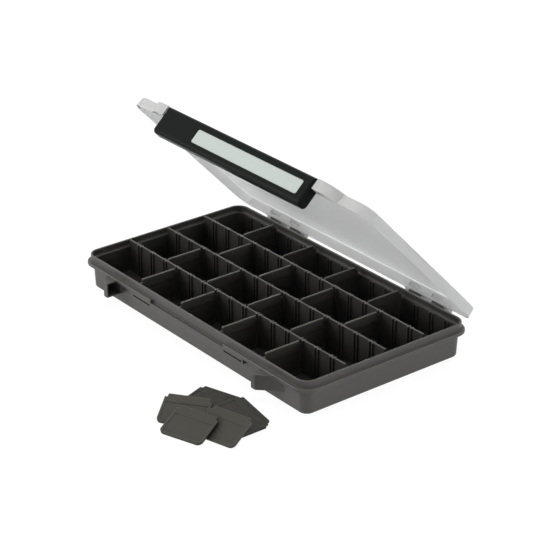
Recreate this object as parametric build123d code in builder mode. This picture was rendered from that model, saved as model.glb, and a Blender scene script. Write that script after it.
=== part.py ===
from build123d import *

import os
from math import cos, radians, sin

os.makedirs("parts", exist_ok=True)

# A flat utility tackle box with an open ribbed tray, a frosted lid held up on snap hinges,
# a long latch bar, and thin dividers that slide into slots between fixed partitions.
# Millimetres, +Z up, the origin is the centre of the tray's underside, the latch faces -Y.

# Tray shell
inner_length = 263.4
channel_count = 4
channel_pitch = 36.5
wall_thickness = 1.6
wall_draft = 1.0
floor_thickness = 2.0
base_round = 2.0
cavity_corner_radius = 6.3
cavity_floor_round = 1.5

# Rim flange, ledge and upstanding lip
rim_overhang = 4.6
rim_top = 22.5
rim_thickness = 2.5
rim_skin = 1.3
rim_round = 0.8
ledge_height = 23.0
lip_inset = 2.6
lip_thickness = 1.6
lip_top = 28.2
lip_round = 0.6

# Partitions and slots
partition_thickness = 1.3
partition_top = 29.0
partition_end_gap = 0.2
slot_count = 15
slot_pitch = 16.78
rib_width = 1.2
rib_depth = 1.1
wall_rib_drop = 0.6

# Dividers
divider_thickness = 1.6
slot_clearance = 0.25
divider_end_clearance = 0.25
divider_floor_clearance = 0.25
divider_top_drop = 0.1
divider_foot_radius = 4.0
divider_shoulder_width = 2.0
divider_shoulder_depth = 3.0
divider_top_round = 1.0
panel_border = 1.9
panel_top_band = 7.6
panel_recess = 0.35
divider_slots = {1: (4, 7, 10, 13), 2: (3, 6, 9, 12), 3: (4, 7, 10, 13), 4: (3, 6, 9, 12)}

# Lid
lid_edge_inset = 0.2
lid_rim_gap = 0.35
lid_top = 31.2
lid_thickness = 1.4
lid_draft = 0.9
lid_top_round = 1.8
lid_open_angle = 46.5

# Hinges: hooks on the tray that push over pins on the lid
hinge_overhang = 5.7
hinge_axis_height = 22.65
hinge_stations = (71.75, 96.85)
knuckle_width = 12.9
pin_radius = 1.5
pin_clearance = 0.2
knuckle_wall = 1.6
knuckle_mouth = 2.4
knuckle_mouth_angle = 35.0
knuckle_arm_height = 1.7
lug_width = 4.0
lug_gap = 0.5
lug_radius = 2.7
grip_bottom = 24.6
grip_top = 28.6
grip_width = 12.0
grip_depth = 0.6
grip_rib_count = 5
grip_rib_width = 1.0


# Latch bar
latch_length = 175.0
latch_front = 87.0
latch_bottom = 8.2
latch_skin = 1.8
latch_gap = 0.45
latch_round = 2.8
latch_corner_round = 3.4
latch_pivot_setback = 3.6
latch_pivot_drop = 3.0
trunnion_radius = 1.4
trunnion_length = 3.2
trunnion_clearance = 0.2
ear_gap = 0.8
ear_face = 6.0
ear_fairing = 16.0
ear_setback = 0.6
ear_wall = 1.6

# Beam under the front of the rim, with a catch in each end
beam_drop = 3.8
catch_inner = 46.0
catch_width = 21.5
catch_depth = 3.2
catch_height = 1.5
catch_sill = 0.7
catch_notch = 2.6
hook_thickness = 1.5
hook_reach = 1.0
hook_clearance = 0.5
trough_length = 90.0
trough_depth = 2.7

# Guard blocks beside the closed latch
guard_gap = 2.0
guard_front = 87.4
guard_bottom = 9.6
guard_top = 21.6
guard_face = 4.5
guard_slope = 9.0
guard_sweep = 8.0
guard_skin = 1.0

# Label window in the latch
label_left = -43.6
label_right = 78.8
label_bottom = 13.9
label_top = 25.5
label_recess = 0.9
label_thickness = 0.6
label_clearance = 0.2
label_corner_radius = 1.8

# Spare dividers heaped in front of the box, each with the middle of its foot at x, y and height,
# turned about Z, tilted up at the far edge and leaning down to the right
spare_places = (
    (84.0, -127.0, 0.8, 14.0, 0.0, 0.0),
    (86.0, -128.5, 2.7, 20.0, 0.0, 0.0),
    (84.5, -127.2, 4.6, 18.0, 0.0, 0.0),
    (111.4, -127.8, 4.3, 0.0, 0.0, 11.0),
    (111.9, -126.6, 6.2, 0.0, 0.0, 11.0),
    (88.5, -148.5, 0.8, 37.0, 18.5, 0.0),
    (120.0, -144.0, 0.8, 16.0, 24.0, 0.0),
    (103.5, -159.8, 0.8, 19.0, 20.0, 0.0),
)

# Sizes that follow from the ones above
inner_width = channel_count * channel_pitch - partition_thickness
wall_length = inner_length + 2 * wall_thickness
wall_width = inner_width + 2 * wall_thickness
body_length = wall_length + 2 * rim_overhang
body_width = wall_width + 2 * rim_overhang
wall_corner_radius = cavity_corner_radius + wall_thickness
rim_corner_radius = wall_corner_radius + rim_overhang
rim_bottom = rim_top - rim_thickness
lip_length = body_length - 2 * lip_inset
lip_width = body_width - 2 * lip_inset
lip_corner_radius = rim_corner_radius - lip_inset
slot_gap = divider_thickness + 2 * slot_clearance
rib_offset = slot_gap / 2 + rib_width / 2
channel_clear = channel_pitch - partition_thickness
divider_width = channel_clear - 2 * divider_end_clearance
divider_bottom = floor_thickness + divider_floor_clearance
divider_height = partition_top - divider_top_drop - divider_bottom
lid_length = body_length - 2 * lid_edge_inset
lid_width = body_width - 2 * lid_edge_inset
lid_corner_radius = rim_corner_radius - lid_edge_inset
lid_bottom = rim_top + lid_rim_gap
lid_inner_top = lid_top - lid_thickness
hinge_y = body_width / 2 + hinge_overhang
latch_back = body_width / 2 + latch_gap
latch_pivot_y = -latch_front + latch_pivot_setback
latch_pivot_z = lid_top - latch_pivot_drop
slot_xs = [(n - (slot_count + 1) / 2) * slot_pitch for n in range(1, slot_count + 1)]
rib_xs = [x + side * rib_offset for x in slot_xs for side in (-1, 1)]
partition_ys = [(n - channel_count / 2) * channel_pitch for n in range(1, channel_count)]
hinge_xs = [side * x for side in (-1, 1) for x in hinge_stations]
beam_bottom = rim_bottom - beam_drop
beam_length = 2 * (catch_inner + catch_width + rim_skin)
catch_xs = [side * (catch_inner + catch_width / 2) for side in (-1, 1)]
knuckle_radius = pin_radius + pin_clearance + knuckle_wall


def opened(x, y, z):
    """Where a point of the closed lid lies when the lid stands open at rest."""
    turn = radians(lid_open_angle)
    back = y - hinge_y
    up = z - hinge_axis_height
    new_y = hinge_y + back * cos(turn) + up * sin(turn)
    new_z = hinge_axis_height - back * sin(turn) + up * cos(turn)
    return (x, new_y, new_z)


def lid_level(height):
    """The plane of the opened lid that is horizontal at this height when the lid is closed."""
    turn = radians(lid_open_angle)
    return Plane(origin=opened(0, 0, height), x_dir=(1, 0, 0), z_dir=(0, sin(turn), cos(turn)))


def lid_section(x):
    """The cross-section plane of the opened lid at x: its axes are the closed lid's Y and Z."""
    turn = radians(lid_open_angle)
    return Plane(origin=opened(x, 0, 0), x_dir=(0, cos(turn), -sin(turn)), z_dir=(1, 0, 0))


# The floor of the label's recess in the latch
label_x = (label_left + label_right) / 2
label_z = (label_bottom + label_top) / 2
label_plane = Plane(
    origin=opened(label_x, -latch_front + label_recess, label_z),
    x_dir=(1, 0, 0),
    z_dir=-lid_section(0).x_dir,
)


def tray_section(x):
    """The upright cross-section plane at x, whose axes are Y and Z."""
    return Plane(origin=(x, 0, 0), x_dir=(0, 1, 0), z_dir=(1, 0, 0))


def draw_ear(side, inner, front, root, skin):
    """Draw the plan of an ear of the lid, or of its hollow a skin thinner: square inside, faired outside."""
    start = side * (inner + skin)
    face_end = (side * (inner + ear_face), -front + skin)
    fairing_end = (side * (inner + ear_face + ear_fairing - skin), -root)
    Polyline((start, -root), (start, -front + skin), face_end)
    TangentArc(face_end, fairing_end, tangent=(side, 0))
    Line(fairing_end, (start, -root))


# The open inside of the tray, with rounded corners down to the floor
with BuildPart() as cavity:
    with BuildSketch(Plane.XY.offset(floor_thickness)) as cavity_outline:
        RectangleRounded(inner_length, inner_width, cavity_corner_radius)
    extrude(amount=lip_top)
    fillet(cavity.faces().sort_by(Axis.Z)[0].edges(), cavity_floor_round)

# Tray: one moulding with drafted walls, flanged rim, lip, partitions, slot ribs and hinge knuckles
with BuildPart() as tray:
    with BuildSketch() as base_outline:
        base_length = wall_length - 2 * wall_draft
        base_width = wall_width - 2 * wall_draft
        RectangleRounded(base_length, base_width, wall_corner_radius - wall_draft)
    with BuildSketch(Plane.XY.offset(rim_bottom)) as wall_outline:
        RectangleRounded(wall_length, wall_width, wall_corner_radius)
    loft(ruled=True)
    fillet(tray.faces().sort_by(Axis.Z)[0].edges(), base_round)

    # Flanged rim with a hollow underside
    with BuildSketch(Plane.XY.offset(rim_bottom)) as rim_outline:
        RectangleRounded(body_length, body_width, rim_corner_radius)
    extrude(amount=rim_thickness)
    fillet(tray.faces().sort_by(Axis.Z)[-1].outer_wire().edges(), rim_round)
    with BuildSketch(Plane.XY.offset(rim_bottom)) as rim_hollow:
        RectangleRounded(body_length - 2 * rim_skin, body_width - 2 * rim_skin, rim_corner_radius - rim_skin)
        RectangleRounded(wall_length, wall_width, wall_corner_radius, mode=Mode.SUBTRACT)
    extrude(amount=rim_thickness - rim_skin, mode=Mode.SUBTRACT)

    # Ledge and upstanding lip
    with BuildSketch(Plane.XY.offset(rim_top)) as ledge_outline:
        RectangleRounded(lip_length, lip_width, lip_corner_radius)
    extrude(amount=ledge_height - rim_top)
    with BuildSketch(Plane.XY.offset(ledge_height)) as lip_outline:
        RectangleRounded(lip_length, lip_width, lip_corner_radius)
        RectangleRounded(
            lip_length - 2 * lip_thickness,
            lip_width - 2 * lip_thickness,
            lip_corner_radius - lip_thickness,
            mode=Mode.SUBTRACT,
        )
    extrude(amount=lip_top - ledge_height)
    fillet(tray.faces().sort_by(Axis.Z)[-1].edges(), lip_round)

    add(cavity.part, mode=Mode.SUBTRACT)

    # Long partitions, with a pair of ribs on both faces at every slot
    with BuildSketch(Plane.XY.offset(floor_thickness)) as partition_plan:
        with Locations(*[(0, y) for y in partition_ys]):
            Rectangle(inner_length - 2 * partition_end_gap, partition_thickness)
        with Locations(*[(x, y) for x in rib_xs for y in partition_ys]):
            Rectangle(rib_width, partition_thickness + 2 * rib_depth)
    extrude(amount=partition_top - floor_thickness)
    with BuildSketch(Plane.XY.offset(floor_thickness)) as partition_feet:
        with Locations(*[(0, y) for y in partition_ys]):
            Rectangle(inner_length + wall_thickness, partition_thickness)
    extrude(amount=ledge_height - wall_rib_drop - floor_thickness)

    # Matching ribs on the inside of the front and back walls
    with BuildSketch(Plane.XY.offset(floor_thickness)) as wall_rib_plan:
        wall_rib_y = inner_width / 2 - rib_depth / 2 + wall_thickness / 4
        with Locations(*[(x, side * wall_rib_y) for x in rib_xs for side in (-1, 1)]):
            Rectangle(rib_width, rib_depth + wall_thickness / 2)
    extrude(amount=ledge_height - wall_rib_drop - floor_thickness)

    # Beam under the front of the rim, and its catches: a slot along each, with an open notch at one end
    beam_root = wall_width / 2 - wall_thickness / 2 - wall_draft
    with BuildSketch(tray_section(0)) as beam_profile:
        with Locations((-(body_width / 2 + beam_root) / 2, (beam_bottom + rim_top - rim_skin / 2) / 2)):
            Rectangle(body_width / 2 - beam_root, rim_top - rim_skin / 2 - beam_bottom)
    extrude(amount=beam_length / 2, both=True)
    for catch_x in catch_xs:
        with BuildSketch(tray_section(catch_x)) as slot_profile:
            with Locations((-body_width / 2, beam_bottom + catch_sill + catch_height / 2)):
                Rectangle(2 * catch_depth, catch_height)
        extrude(amount=catch_width / 2, both=True, mode=Mode.SUBTRACT)
        with BuildSketch(tray_section(catch_x + catch_width / 2)) as notch_profile:
            with Locations((-body_width / 2, beam_bottom + (catch_sill + catch_height) / 2)):
                Rectangle(2 * catch_depth, catch_sill + catch_height)
        extrude(amount=-catch_notch, mode=Mode.SUBTRACT)

    # The lowered shelf between the catches
    with BuildSketch(Plane.XY.offset(rim_top)) as trough_plan:
        with Locations((0, -lip_width / 2 - lip_inset / 2)):
            Rectangle(trough_length, lip_inset)
    extrude(amount=-trough_depth, mode=Mode.SUBTRACT)

    # Guard blocks: square to the latch and hollow there, sloping back to the wall outside
    guard_inner = latch_length / 2 + guard_gap
    guard_root = wall_width / 2 - wall_thickness / 2
    pocket_front = guard_front - guard_skin
    pocket_back = wall_width / 2 + guard_skin
    pocket_run = pocket_front - pocket_back
    for side in (-1, 1):
        with BuildSketch(Plane.XY.offset(guard_bottom)) as guard_plan:
            with BuildLine() as guard_line:
                slope_end = (side * (guard_inner + guard_face + guard_slope), -guard_front + guard_slope)
                sweep_end = (slope_end[0] + side * guard_sweep, -guard_root)
                Polyline(
                    (side * guard_inner, -guard_root),
                    (side * guard_inner, -guard_front),
                    (side * (guard_inner + guard_face), -guard_front),
                    slope_end,
                )
                TangentArc(slope_end, sweep_end, tangent=(side, 1))
                Line(sweep_end, (side * guard_inner, -guard_root))
            make_face()
        extrude(amount=guard_top - guard_bottom)
        with BuildSketch(Plane.XY.offset(guard_bottom + guard_skin)) as guard_pocket:
            with BuildLine() as pocket_line:
                pocket_face_end = guard_inner + guard_face - guard_skin / 2
                Polyline(
                    (side * guard_inner, -pocket_back),
                    (side * guard_inner, -pocket_front),
                    (side * pocket_face_end, -pocket_front),
                    (side * (pocket_face_end + pocket_run), -pocket_back),
                    close=True,
                )
            make_face()
        extrude(amount=guard_top - guard_bottom - 2 * guard_skin, mode=Mode.SUBTRACT)

    # Hinge knuckles: hooks on the back of the rim that snap over the lid's pins
    for x in hinge_xs:
        with BuildSketch(tray_section(x)) as knuckle_profile:
            arm_root = body_width / 2 - rim_skin / 2
            arm_top = rim_top - rim_round
            with Locations((hinge_y, hinge_axis_height)):
                Circle(knuckle_radius)
            with BuildLine() as knuckle_arm:
                Polyline(
                    (arm_root, arm_top - knuckle_arm_height),
                    (arm_root, arm_top),
                    (hinge_y, hinge_axis_height),
                    (hinge_y, hinge_axis_height - knuckle_radius),
                    close=True,
                )
            make_face()
            with Locations((hinge_y, hinge_axis_height)):
                Circle(pin_radius + pin_clearance, mode=Mode.SUBTRACT)
            with Locations(Location((hinge_y, hinge_axis_height), knuckle_mouth_angle)):
                with Locations((knuckle_radius, 0)):
                    Rectangle(2 * knuckle_radius, knuckle_mouth, mode=Mode.SUBTRACT)
        extrude(amount=knuckle_width / 2, both=True)

tray.part.label = "tray"
export_step(tray.part, "parts/tray.step")


# The hollow of the lid
with BuildPart() as lid_hollow:
    with BuildSketch(lid_level(lid_bottom)) as hollow_rim:
        RectangleRounded(
            lid_length - 2 * lid_thickness, lid_width - 2 * lid_thickness, lid_corner_radius - lid_thickness
        )
    with BuildSketch(lid_level(lid_inner_top)) as hollow_top:
        RectangleRounded(
            lid_length - 2 * lid_thickness - 2 * lid_draft,
            lid_width - 2 * lid_thickness - 2 * lid_draft,
            lid_corner_radius - lid_thickness - lid_draft,
        )
    loft(ruled=True)

# Lid: a frosted shallow cover, with hinge lugs and pins behind and latch ears in front
with BuildPart() as lid:
    with BuildSketch(lid_level(lid_bottom)) as lid_rim_outline:
        RectangleRounded(lid_length, lid_width, lid_corner_radius)
    with BuildSketch(lid_level(lid_top)) as lid_top_outline:
        RectangleRounded(lid_length - 2 * lid_draft, lid_width - 2 * lid_draft, lid_corner_radius - lid_draft)
    loft(ruled=True)
    top_face = lid.faces().sort_by(Axis(lid_level(0).origin, lid_level(0).z_dir))[-1]
    fillet(top_face.edges(), lid_top_round)

    # Ears beside the latch, hollow below like the lid
    ear_inner = latch_length / 2 + ear_gap
    ear_front = latch_front - ear_setback
    ear_root = lid_width / 2 - lid_draft - lid_top_round
    for side in (-1, 1):
        with BuildSketch(lid_level(lid_bottom)) as ear_plan:
            with BuildLine() as ear_line:
                draw_ear(side, ear_inner, ear_front, ear_root, 0)
            make_face()
        extrude(amount=lid_top - lid_bottom)
        with BuildSketch(lid_level(lid_bottom)) as ear_hollow:
            with BuildLine() as ear_hollow_line:
                draw_ear(side, ear_inner, ear_front, lid_width / 2, ear_wall)
            make_face()
        extrude(amount=lid_inner_top - lid_bottom, mode=Mode.SUBTRACT)

    # Hinge lugs on both sides of every knuckle
    for x in hinge_xs:
        for side in (-1, 1):
            lug_x = x + side * (knuckle_width / 2 + lug_gap + lug_width / 2)
            with BuildSketch(lid_section(lug_x)) as lug_profile:
                with Locations((hinge_y, hinge_axis_height)):
                    Circle(lug_radius)
                with BuildLine() as lug_line:
                    Polyline(
                        (lid_width / 2 - lid_draft, lid_bottom),
                        (hinge_y, hinge_axis_height),
                        (hinge_y, hinge_axis_height + lug_radius),
                        (lid_width / 2 - lid_draft, lid_inner_top),
                        close=True,
                    )
                make_face()
            extrude(amount=lug_width / 2, both=True)

    add(lid_hollow.part, mode=Mode.SUBTRACT)

    # Ribbed recesses inside the back skirt, one above each pin
    grip_face = lid_width / 2 - lid_thickness
    for x in hinge_xs:
        with BuildSketch(lid_section(x)) as grip_profile:
            with Locations((grip_face, (grip_bottom + grip_top) / 2)):
                Rectangle(2 * grip_depth, grip_top - grip_bottom)
        extrude(amount=grip_width / 2, both=True, mode=Mode.SUBTRACT)
        for n in range(grip_rib_count):
            rib_x = x + ((n + 1) / (grip_rib_count + 1) - 1 / 2) * grip_width
            with BuildSketch(lid_section(rib_x)) as grip_rib_profile:
                with Locations((grip_face + grip_depth / 2, (grip_bottom + grip_top) / 2)):
                    Rectangle(grip_depth, grip_top - grip_bottom)
            extrude(amount=grip_rib_width / 2, both=True)

    # Pins between the lugs
    for x in hinge_xs:
        with BuildSketch(lid_section(x)) as pin_profile:
            with Locations((hinge_y, hinge_axis_height)):
                Circle(pin_radius)
        extrude(amount=knuckle_width / 2 + lug_gap + lug_width / 2, both=True)

    # Trunnion holes in the ears
    for side in (-1, 1):
        with BuildSketch(lid_section(side * ear_inner)) as trunnion_hole:
            with Locations((latch_pivot_y, latch_pivot_z)):
                Circle(trunnion_radius + trunnion_clearance)
        extrude(amount=side * (trunnion_length + trunnion_clearance - ear_gap), mode=Mode.SUBTRACT)

lid.part.label = "lid"
export_step(lid.part, "parts/lid.step")


# The hollow back of the latch bar
with BuildPart() as latch_hollow:
    with BuildSketch(lid_section(0)) as hollow_profile:
        hollow_front = latch_front - latch_skin
        hollow_height = lid_top - latch_bottom - 2 * latch_skin
        with Locations((-(hollow_front + latch_back) / 2, (lid_top + latch_bottom) / 2)):
            Rectangle(hollow_front - latch_back, hollow_height)
    extrude(amount=latch_length / 2 - latch_skin, both=True)

# Latch bar: a long channel that closes over the front of the lid and hooks under the rim
with BuildPart() as latch:
    with BuildSketch(lid_section(0)) as latch_profile:
        with Locations((-(latch_front + latch_back) / 2, (lid_top + latch_bottom) / 2)):
            Rectangle(latch_front - latch_back, lid_top - latch_bottom)
    extrude(amount=latch_length / 2, both=True)
    depth_axis = Axis(lid_section(0).origin, lid_section(0).x_dir)
    height_axis = Axis(lid_level(0).origin, lid_level(0).z_dir)
    bottom_corners = latch.edges().filter_by(depth_axis).group_by(height_axis)[0]
    fillet(bottom_corners, latch_corner_round)
    fillet(latch.faces().sort_by(depth_axis)[0].edges(), latch_round)
    add(latch_hollow.part, mode=Mode.SUBTRACT)

    # Hooks that reach under the catches
    for catch_x in catch_xs:
        with BuildSketch(lid_section(catch_x)) as hook_profile:
            hook_tip = body_width / 2 - catch_depth - hook_reach
            hook_z = beam_bottom - hook_clearance - hook_thickness / 2
            with Locations((-(latch_front - latch_skin / 2 + hook_tip) / 2, hook_z)):
                Rectangle(latch_front - latch_skin / 2 - hook_tip, hook_thickness)
        extrude(amount=catch_width / 2 - 2 * hook_clearance, both=True)

    # Trunnions at the ends
    for side in (-1, 1):
        with BuildSketch(lid_section(side * (latch_length / 2 - latch_skin))) as trunnion_profile:
            with Locations((latch_pivot_y, latch_pivot_z)):
                Circle(trunnion_radius)
        extrude(amount=side * (latch_skin + trunnion_length))

    # Recess for the label
    with BuildSketch(label_plane) as label_pocket:
        RectangleRounded(label_right - label_left, label_top - label_bottom, label_corner_radius)
    extrude(amount=2 * label_recess, mode=Mode.SUBTRACT)

latch.part.label = "latch"
export_step(latch.part, "parts/latch.step")


# Label plate: a pale blank strip lying in the latch's recess
with BuildPart() as label_plate:
    with BuildSketch(label_plane) as label_outline:
        RectangleRounded(
            label_right - label_left - 2 * label_clearance,
            label_top - label_bottom - 2 * label_clearance,
            label_corner_radius,
        )
    extrude(amount=label_thickness)

label_plate.part.label = "label_plate"
export_step(label_plate.part, "parts/label_plate.step")


# Divider: a thin plate with a recessed panel on both faces, drawn in its own plane, foot at y = 0
with BuildPart() as divider:
    with BuildSketch() as divider_outline:
        half = divider_width / 2
        step_height = divider_height - divider_shoulder_depth
        with BuildLine() as divider_line:
            Polyline(
                (-half, 0),
                (half, 0),
                (half, step_height),
                (half - divider_shoulder_width, step_height),
                (half - divider_shoulder_width, divider_height),
                (-half + divider_shoulder_width, divider_height),
                (-half + divider_shoulder_width, step_height),
                (-half, step_height),
                close=True,
            )
        make_face()
        fillet(divider_outline.vertices().group_by(Axis.Y)[0], divider_foot_radius)
        fillet(divider_outline.vertices().group_by(Axis.Y)[-1], divider_top_round)
    extrude(amount=divider_thickness / 2, both=True)
    panel_height = divider_height - panel_top_band - panel_border
    for face in (-1, 1):
        with BuildSketch(Plane.XY.offset(face * divider_thickness / 2)) as panel_outline:
            with Locations((0, panel_border + panel_height / 2)):
                Rectangle(divider_width - 2 * panel_border, panel_height)
            fillet(panel_outline.vertices().group_by(Axis.Y)[0], divider_foot_radius - panel_border)
        extrude(amount=-face * panel_recess, mode=Mode.SUBTRACT)

# Dividers standing in their slots
for channel, slots in divider_slots.items():
    channel_y = (channel - (channel_count + 1) / 2) * channel_pitch
    for slot in slots:
        with BuildPart() as fitted:
            seat = tray_section(slot_xs[slot - 1])
            with Locations(seat.location * Location((channel_y, divider_bottom, 0))):
                add(divider.part)
        fitted.part.label = f"divider_{channel}_{slot}"
        export_step(fitted.part, f"parts/{fitted.part.label}.step")

# Spare dividers in a loose heap
for number, (x, y, height, turn, tilt, lean) in enumerate(spare_places, 1):
    with BuildPart() as spare:
        turned = Location((x, y, height), (0, 0, turn))
        with Locations(turned * Location((0, 0, 0), (tilt, 0, 0)) * Location((0, 0, 0), (0, lean, 0))):
            add(divider.part)
    spare.part.label = f"spare_divider_{number}"
    export_step(spare.part, f"parts/{spare.part.label}.step")
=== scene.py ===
import math

import bpy
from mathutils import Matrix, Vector

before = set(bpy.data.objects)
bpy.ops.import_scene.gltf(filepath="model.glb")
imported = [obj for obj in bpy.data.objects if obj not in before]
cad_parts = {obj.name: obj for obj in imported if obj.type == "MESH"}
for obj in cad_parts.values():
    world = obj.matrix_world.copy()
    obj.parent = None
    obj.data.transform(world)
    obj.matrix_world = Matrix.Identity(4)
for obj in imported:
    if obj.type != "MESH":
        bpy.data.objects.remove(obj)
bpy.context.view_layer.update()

# Tray
# One charcoal polypropylene moulding with slotted partitions, a lip for the lid and latch guards.
# Injection moulded in one shot, with a fine spark texture; painted shade darkens it deep in each
# cell.
tray_colour = (0.076, 0.0735, 0.0660)
tray_roughness = 0.46
tray_grain = 0.00004
# Strength of the paler edges: a painted highlight along them, partly wear.
tray_edge_light = 0.7

# Painted shade: deep in each cell and corner the colour is darkened, following occlusion.
cell_shade_tone = 0.2
cell_shade_reach = 0.05
cell_shade_contrast = 1.65
cell_shade_samples = 6
cavity_half_length = 0.1327
cavity_half_width = 0.0734
lip_height = 0.0245

cloud_noise = {"Scale": 38.0, "Detail": 4.0, "Roughness": 0.6}
cloud_depth = 0.07
grain_noise = {"Scale": 2600.0, "Detail": 2.0, "Roughness": 0.7}
grain_tone = 0.9
grain_share = 0.25
grain_swing = 0.5
noise_middle = 0.5
grain_bump = 0.6
scuff_noise = {"Scale": 1.0, "Detail": 5.0, "Roughness": 0.75}
scuff_stretch = (60.0, 900.0, 500.0)
scuff_start = 0.6
scuff_full = 0.78
scuff_share = 0.3
scuff_tone = 1.5
# Paler sharp edges: a painted highlight, partly wear, broken up by the clouding.
highlit_worn_edge_width = 0.0005
highlit_worn_edge_tone = 3.2
highlit_worn_edge_break = 0.25
edge_lean_start = 0.015
edge_lean_full = 0.22
edge_samples = 6
smoothest = -0.06
roughest = 0.08
usual_specular = 0.5

nodes_in_row = 8
node_gap = 240


def feed(owner, socket, value):
    """Links another node's output to a socket, or sets the socket's own value."""
    if isinstance(value, bpy.types.NodeSocket):
        owner.node_tree.links.new(value, socket)
    else:
        socket.default_value = value


def add_node(owner, kind, **values):
    """Adds a shader node to a material or a world, with its inputs and settings by name."""
    nodes = owner.node_tree.nodes
    row, column = divmod(len(nodes), nodes_in_row)
    node = nodes.new("ShaderNode" + kind)
    node.location = (column * node_gap, -row * node_gap)
    for key, value in values.items():
        socket_name = key.replace("_", " ")
        if socket_name in node.inputs:
            feed(owner, node.inputs[socket_name], value)
        else:
            setattr(node, key, value)
    return node


def blank_material(name):
    """A material without nodes."""
    material = bpy.data.materials.new(name)
    material.use_nodes = True
    material.node_tree.nodes.clear()
    return material


def calculate(owner, operation, first, second=0.0):
    """One arithmetic node; returns its output."""
    node = add_node(owner, "Math", operation=operation)
    feed(owner, node.inputs[0], first)
    feed(owner, node.inputs[1], second)
    return node.outputs[0]


def dot_product(owner, first, second):
    """The dot product of two vectors; returns the output."""
    node = add_node(owner, "VectorMath", operation="DOT_PRODUCT")
    feed(owner, node.inputs[0], first)
    feed(owner, node.inputs[1], second)
    return node.outputs["Value"]


def colour_mix(owner, share, first, second):
    """A blend from a first colour to a second one; returns the output."""
    factor_socket, first_socket, second_socket, colour_output = 0, 6, 7, 2
    node = add_node(owner, "Mix", data_type="RGBA")
    feed(owner, node.inputs[factor_socket], share)
    feed(owner, node.inputs[first_socket], first)
    feed(owner, node.inputs[second_socket], second)
    return node.outputs[colour_output]


def shade(colour, factor):
    """A colour made lighter or darker, with full opacity."""
    return tuple(min(1.0, channel * factor) for channel in colour) + (1.0,)


def edge_mask(material, width):
    """One along sharp corners and zero on flats, and the rounded normal that it is found with."""
    true_normal = add_node(material, "NewGeometry").outputs["Normal"]
    rounded = add_node(material, "Bevel", Radius=width, samples=edge_samples).outputs[0]
    lean = calculate(material, "SUBTRACT", 1.0, dot_product(material, true_normal, rounded))
    mask = add_node(material, "MapRange", Value=lean, From_Min=edge_lean_start,
                    From_Max=edge_lean_full)
    return mask.outputs[0], rounded


def unshaded_share(material, reach, own_faces_only, tray_cavity=False):
    """The share without painted shade: one in the open, near zero deep in a cell or a corner.

    With tray_cavity, only the faces inside the tray, and those above its lip, count as deep.
    """
    occlusion = add_node(material, "AmbientOcclusion", Distance=reach, samples=cell_shade_samples,
                         only_local=own_faces_only)
    share = calculate(material, "POWER", occlusion.outputs["AO"], cell_shade_contrast)
    if tray_cavity:
        place = add_node(material, "TexCoord").outputs["Object"]
        length, width, height = add_node(material, "SeparateXYZ", Vector=place).outputs
        from_middle = calculate(material, "ABSOLUTE", length)
        within_length = calculate(material, "LESS_THAN", from_middle, cavity_half_length)
        from_middle = calculate(material, "ABSOLUTE", width)
        within_width = calculate(material, "LESS_THAN", from_middle, cavity_half_width)
        within_walls = calculate(material, "MULTIPLY", within_length, within_width)
        above_lip = calculate(material, "GREATER_THAN", height, lip_height)
        cavity = calculate(material, "MAXIMUM", within_walls, above_lip)
        outside = calculate(material, "SUBTRACT", 1.0, cavity)
        share = calculate(material, "MAXIMUM", share, outside)
    return share


def moulded_plastic(name, colour, roughness, grain, edge_light, specular=usual_specular,
                    clouding=cloud_depth, edge_width=highlit_worn_edge_width, painted_shade=None):
    """Moulded plastic: cloudy tone, spark-eroded grain, edges painted paler, faint handling
    scuffs.

    Given the shade arguments for hollows, painted shade darkens the colour deep down in them.
    """
    material = blank_material(name)
    place = add_node(material, "TexCoord").outputs["Object"]
    clouds = add_node(material, "TexNoise", Vector=place, **cloud_noise).outputs[0]
    grains = add_node(material, "TexNoise", Vector=place, **grain_noise).outputs[0]
    stretched = add_node(material, "Mapping", Vector=place, Scale=scuff_stretch).outputs[0]
    scuffs = add_node(material, "TexNoise", Vector=stretched, **scuff_noise).outputs[0]

    tone = colour_mix(material, clouds, shade(colour, 1.0 - clouding),
                      shade(colour, 1.0 + clouding))
    scuffed_here = add_node(material, "MapRange", Value=scuffs, From_Min=scuff_start,
                            From_Max=scuff_full).outputs[0]
    scuffed = colour_mix(material, calculate(material, "MULTIPLY", scuffed_here, scuff_share),
                         tone, shade(colour, scuff_tone))
    speck = calculate(material, "MULTIPLY",
                      calculate(material, "SUBTRACT", grains, noise_middle), grain_swing)
    speckled = colour_mix(material, calculate(material, "ADD", speck, noise_middle),
                          shade(colour, grain_tone), scuffed)
    body = colour_mix(material, grain_share, scuffed, speckled)

    # Sharp edges are painted paler: a painted highlight, partly wear.
    edge, rounded = edge_mask(material, edge_width)
    highlit_and_worn = calculate(material, "MULTIPLY", edge,
                     calculate(material, "ADD", clouds, highlit_worn_edge_break))
    coloured = colour_mix(material, calculate(material, "MULTIPLY", highlit_and_worn, edge_light),
                          body, shade(colour, highlit_worn_edge_tone))
    # Painted shade: the colour is darkened where the surface lies deep in a hollow.
    if painted_shade:
        coloured = colour_mix(material, unshaded_share(material, **painted_shade),
                              shade(colour, cell_shade_tone), coloured)

    rough = add_node(material, "MapRange", Value=clouds, To_Min=roughness + smoothest,
                     To_Max=roughness + roughest)
    bump = add_node(material, "Bump", Height=grains, Distance=grain, Strength=grain_bump,
                    Normal=rounded)
    surface = add_node(material, "BsdfPrincipled", Base_Color=coloured, Roughness=rough.outputs[0],
                       Normal=bump.outputs[0], Specular_IOR_Level=specular)
    add_node(material, "OutputMaterial", Surface=surface.outputs[0])
    return material


def dress(name, material):
    """Gives a piece its finish."""
    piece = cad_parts[name]
    piece.data.materials.clear()
    piece.data.materials.append(material)
    for polygon in piece.data.polygons:
        polygon.material_index = 0


tray_cell_shade = {"reach": cell_shade_reach, "own_faces_only": True, "tray_cavity": True}
dress("tray", moulded_plastic("charcoal_polypropylene", tray_colour, tray_roughness, tray_grain,
                              tray_edge_light, painted_shade=tray_cell_shade))


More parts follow.
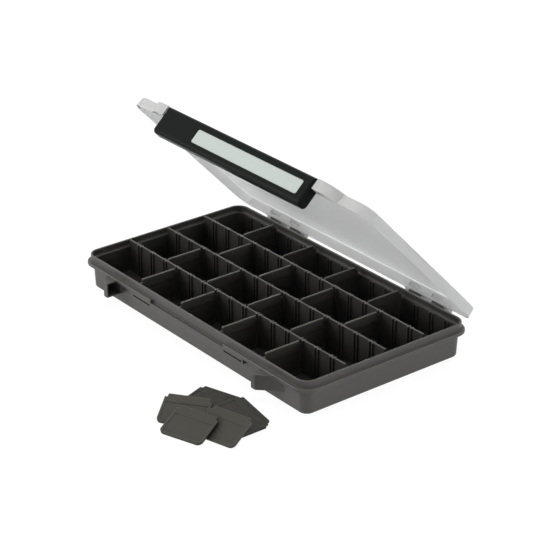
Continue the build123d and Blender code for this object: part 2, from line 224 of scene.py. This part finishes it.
# Dividers
# Thin plates of the same resin, slightly greener, with a recessed panel on both faces. They drop
# into the tray's slots. The spare ones lie in a heap in front; its lower plates get painted shade.
divider_colour = (0.070, 0.0675, 0.0560)
divider_roughness = 0.5
divider_grain = 0.00003
# The plates' top edges carry the same painted highlight, stronger.
divider_edge_light = 1.2
divider_edge_width = 0.0009
spare_colour = (0.050, 0.0482, 0.0370)
# Painted shade: the lowest plates of the heap take a darker copy of the spare colour.
shaded_plate_colour = (0.029, 0.0276, 0.0228)
shaded_plate_count = 5
# Painted shade: within this reach of other plates or walls, the plates are darkened.
heap_shade_reach = 0.012
heap_specular = 0.3


def divider_plastic(name, colour, reach, **finish):
    """The resin of the dividers, with painted shade where other plates or walls stand close."""
    return moulded_plastic(name, colour, divider_roughness, divider_grain, divider_edge_light,
                           edge_width=divider_edge_width,
                           painted_shade={"reach": reach, "own_faces_only": False}, **finish)


fitted_material = divider_plastic("fitted_divider_plastic", divider_colour, cell_shade_reach)
spare_material = divider_plastic("spare_divider_plastic", spare_colour, heap_shade_reach,
                                 specular=heap_specular)
shaded_plate_material = divider_plastic("shaded_divider_plastic", shaded_plate_colour, heap_shade_reach,
                               specular=heap_specular)
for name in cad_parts:
    if name.startswith("divider"):
        dress(name, fitted_material)
    if name.startswith("spare"):
        spare_number = int(name.rsplit("_", 1)[1])
        dress(name, shaded_plate_material if spare_number <= shaded_plate_count else spare_material)


# Lid
# A shallow frosted cover in natural polypropylene, moulded with its hinge pins and latch ears.
# It is milky and see-through. The skirt and the ears are thicker and let less light through.
face_colour = (0.965, 0.97, 0.97)
face_roughness = 0.42
face_through = 0.84
thick_colour = (0.805, 0.81, 0.81)
thick_roughness = 0.25
thick_through = 0.52
ear_colour = (0.79, 0.795, 0.785)
ear_through = 0.35
# Painted shade: the thick skirt along the hinge is given a darker colour.
hinge_side_shade_colour = (0.59, 0.595, 0.59)
lid_refraction = 1.2

lid_turn = math.radians(46.5)
lid_up = Vector((0.0, math.sin(lid_turn), math.cos(lid_turn)))
lid_forward = Vector((0.0, -math.cos(lid_turn), math.sin(lid_turn)))
hinge = Vector((0.0, 0.08425, 0.02265))
skirt_height = 0.0068
hinge_side_depth = 0.0085
ear_start = 0.152

milk_noise = {"Scale": 22.0, "Detail": 4.0, "Roughness": 0.55}
milk_thin = 0.95
milk_full = 1.03
frost_noise = {"Scale": 1800.0, "Detail": 3.0, "Roughness": 0.7}
frost_depth = 0.00003
frost_bump = 0.5
flow_noise = {"Scale": 1.0, "Detail": 3.0}
flow_stretch = (14.0, 120.0, 120.0)
flow_share = 0.25
flow_tone = 0.9
frost_smoothest = -0.05
frost_roughest = 0.07


def frosted_plastic(name):
    """Milky clear plastic: rough light transmission, fine frosting and faint flow lines."""
    material = blank_material(name)
    place = add_node(material, "TexCoord").outputs["Object"]
    over_hinge = calculate(material, "SUBTRACT", dot_product(material, place, lid_up),
                           hinge.dot(lid_up))
    from_hinge = calculate(material, "SUBTRACT", dot_product(material, place, lid_forward),
                           hinge.dot(lid_forward))
    ear = calculate(material, "GREATER_THAN", from_hinge, ear_start)
    skirt = calculate(material, "LESS_THAN", over_hinge, skirt_height)
    thick = calculate(material, "MAXIMUM", skirt, ear)
    # The thick skirt next to the hinge, where shade is painted.
    hinge_side_shade = calculate(material, "MULTIPLY", thick,
                           calculate(material, "LESS_THAN", from_hinge, hinge_side_depth))

    milk = add_node(material, "TexNoise", Vector=place, **milk_noise).outputs[0]
    frost = add_node(material, "TexNoise", Vector=place, **frost_noise).outputs[0]
    stretched = add_node(material, "Mapping", Vector=place, Scale=flow_stretch).outputs[0]
    flow = add_node(material, "TexNoise", Vector=stretched, **flow_noise).outputs[0]
    milky = colour_mix(material, milk, shade(face_colour, milk_thin),
                       shade(face_colour, milk_full))
    coloured = colour_mix(material, calculate(material, "MULTIPLY", flow, flow_share),
                          milky, shade(face_colour, flow_tone))
    for mask, colour in ((thick, thick_colour), (hinge_side_shade, hinge_side_shade_colour),
                         (ear, ear_colour)):
        coloured = colour_mix(material, mask, coloured, shade(colour, 1.0))

    rough = add_node(material, "MapRange", Value=milk, To_Min=face_roughness + frost_smoothest,
                     To_Max=face_roughness + frost_roughest)
    rougher = calculate(material, "ADD", rough.outputs[0],
                        calculate(material, "MULTIPLY", thick, thick_roughness))
    through = calculate(material, "SUBTRACT", face_through,
                        calculate(material, "MULTIPLY", thick, face_through - thick_through))
    through = calculate(material, "SUBTRACT", through,
                        calculate(material, "MULTIPLY", ear, thick_through - ear_through))
    bump = add_node(material, "Bump", Height=frost, Distance=frost_depth, Strength=frost_bump)
    surface = add_node(material, "BsdfPrincipled", Base_Color=coloured, Roughness=rougher,
                       Normal=bump.outputs[0], IOR=lid_refraction, Transmission_Weight=through)
    add_node(material, "OutputMaterial", Surface=surface.outputs[0])
    return material


dress("lid", frosted_plastic("frosted_polypropylene"))


# Latch
# A long black channel that pivots on the lid's ears and snaps under the rim of the tray.
# It is moulded in a harder resin with a slight green cast, and reflects softly along its rounds.
latch_colour = (0.0062, 0.0084, 0.0069)
latch_roughness = 0.36
latch_grain = 0.00001
# The latch's sharp edges carry a painted highlight.
latch_edge_light = 0.8
latch_specular = 0.06
dress("latch", moulded_plastic("black_satin_resin", latch_colour, latch_roughness, latch_grain,
                               latch_edge_light, specular=latch_specular))


# Label plate
# A blank card of pale grey-green synthetic paper, glued in the latch's recess.
# It has a faint fibre and the soft sheen of a writable surface.
label_colour = (0.635, 0.695, 0.655)
label_roughness = 0.55
label_fibre = 0.00001
label_specular = 0.35
label_clouding = 0.03
dress("label_plate", moulded_plastic("writable_label", label_colour, label_roughness, label_fibre,
                                     edge_light=0.0, specular=label_specular,
                                     clouding=label_clouding))


# Floor
# A plain pale sweep of matt card, laid just under the box. It keeps the soft shadow of the box,
# and shows nearly white to the camera, in gloss and through the lid.
floor_half = 6.0
floor_drop = 0.0002
floor_tone = 0.82
floor_glow = 1.1
floor_glow_share = 0.85


def seen_mask(owner):
    """One where a thing is looked at, by the camera, in gloss or through the lid."""
    path = add_node(owner, "LightPath").outputs
    in_gloss_or_through = calculate(owner, "MAXIMUM", path["Is Glossy Ray"],
                                    path["Is Transmission Ray"])
    return calculate(owner, "MAXIMUM", path["Is Camera Ray"], in_gloss_or_through)


floor_mesh = bpy.data.meshes.new("floor")
corners = [(-floor_half, -floor_half, 0), (floor_half, -floor_half, 0),
           (floor_half, floor_half, 0), (-floor_half, floor_half, 0)]
floor_mesh.from_pydata(corners, [], [(0, 1, 2, 3)])
floor = bpy.data.objects.new("floor", floor_mesh)
bpy.context.scene.collection.objects.link(floor)
floor.location.z = -floor_drop

floor_material = blank_material("pale_sweep")
card = add_node(floor_material, "BsdfDiffuse", Color=(floor_tone, floor_tone, floor_tone, 1.0))
glow = add_node(floor_material, "Emission", Color=(1.0, 1.0, 1.0, 1.0), Strength=floor_glow)
glow_share = calculate(floor_material, "MULTIPLY", seen_mask(floor_material), floor_glow_share)
sweep = add_node(floor_material, "MixShader", Fac=glow_share)
feed(floor_material, sweep.inputs[1], card.outputs[0])
feed(floor_material, sweep.inputs[2], glow.outputs[0])
add_node(floor_material, "OutputMaterial", Surface=sweep.outputs[0])
floor_mesh.materials.append(floor_material)


# Background
# A white room around the sweep. It is full white where it is looked at, and otherwise lights the
# box from all sides at a lower, even level.
room_light = 0.34
world = bpy.data.worlds.new("white_room")
bpy.context.scene.world = world
world.use_nodes = True
world.node_tree.nodes.clear()
room_strength = add_node(world, "MapRange", Value=seen_mask(world), To_Min=room_light, To_Max=1.0)
room = add_node(world, "Background", Color=(1.0, 1.0, 1.0, 1.0), Strength=room_strength.outputs[0])
add_node(world, "OutputWorld", Surface=room.outputs[0])


# Lamps
# Three large square soft boxes on stands, all turned to the middle of the box: a key on the
# latch side, a weaker one to the right and one overhead.
def soft_box(name, place, size, power):
    """A square area lamp that looks at the middle of the box."""
    lamp = bpy.data.lights.new(name, "AREA")
    lamp.shape = "SQUARE"
    lamp.size = size
    lamp.energy = power
    stand = bpy.data.objects.new(name, lamp)
    bpy.context.scene.collection.objects.link(stand)
    stand.location = place
    stand.rotation_euler = (box_middle - Vector(place)).to_track_quat("-Z", "Y").to_euler()


box_middle = Vector((0.0, 0.0, 0.03))
soft_box("key_box", place=(-1.2, -1.5, 0.9), size=1.1, power=19.5)
soft_box("right_box", place=(1.5, 0.9, 0.6), size=1.0, power=6.0)
soft_box("top_box", place=(0.1, 0.3, 1.9), size=1.2, power=12.0)


# Camera
# A long lens at the angle of the photograph. Its place was fitted to the straight edges of the
# tray, the partitions and the lid.
azimuth = math.radians(51.69)
elevation = math.radians(25.85)
distance = 1.6
aim = Vector((-0.05735, 0.05017, 0.0))
lens_length = 132.2
sensor_width = 36.0
nearest = 0.05
farthest = 50.0

backward = Vector((math.sin(azimuth) * math.cos(elevation),
                   -math.cos(azimuth) * math.cos(elevation),
                   math.sin(elevation)))
camera_data = bpy.data.cameras.new("camera")
camera_data.sensor_width = sensor_width
camera_data.lens = lens_length
camera_data.clip_start = nearest
camera_data.clip_end = farthest
camera = bpy.data.objects.new("camera", camera_data)
bpy.context.scene.collection.objects.link(camera)
camera.location = aim + backward * distance
camera.rotation_mode = "QUATERNION"
camera.rotation_quaternion = (-backward).to_track_quat("-Z", "Y")
bpy.context.scene.camera = camera
bpy.context.scene.view_settings.view_transform = "Standard"
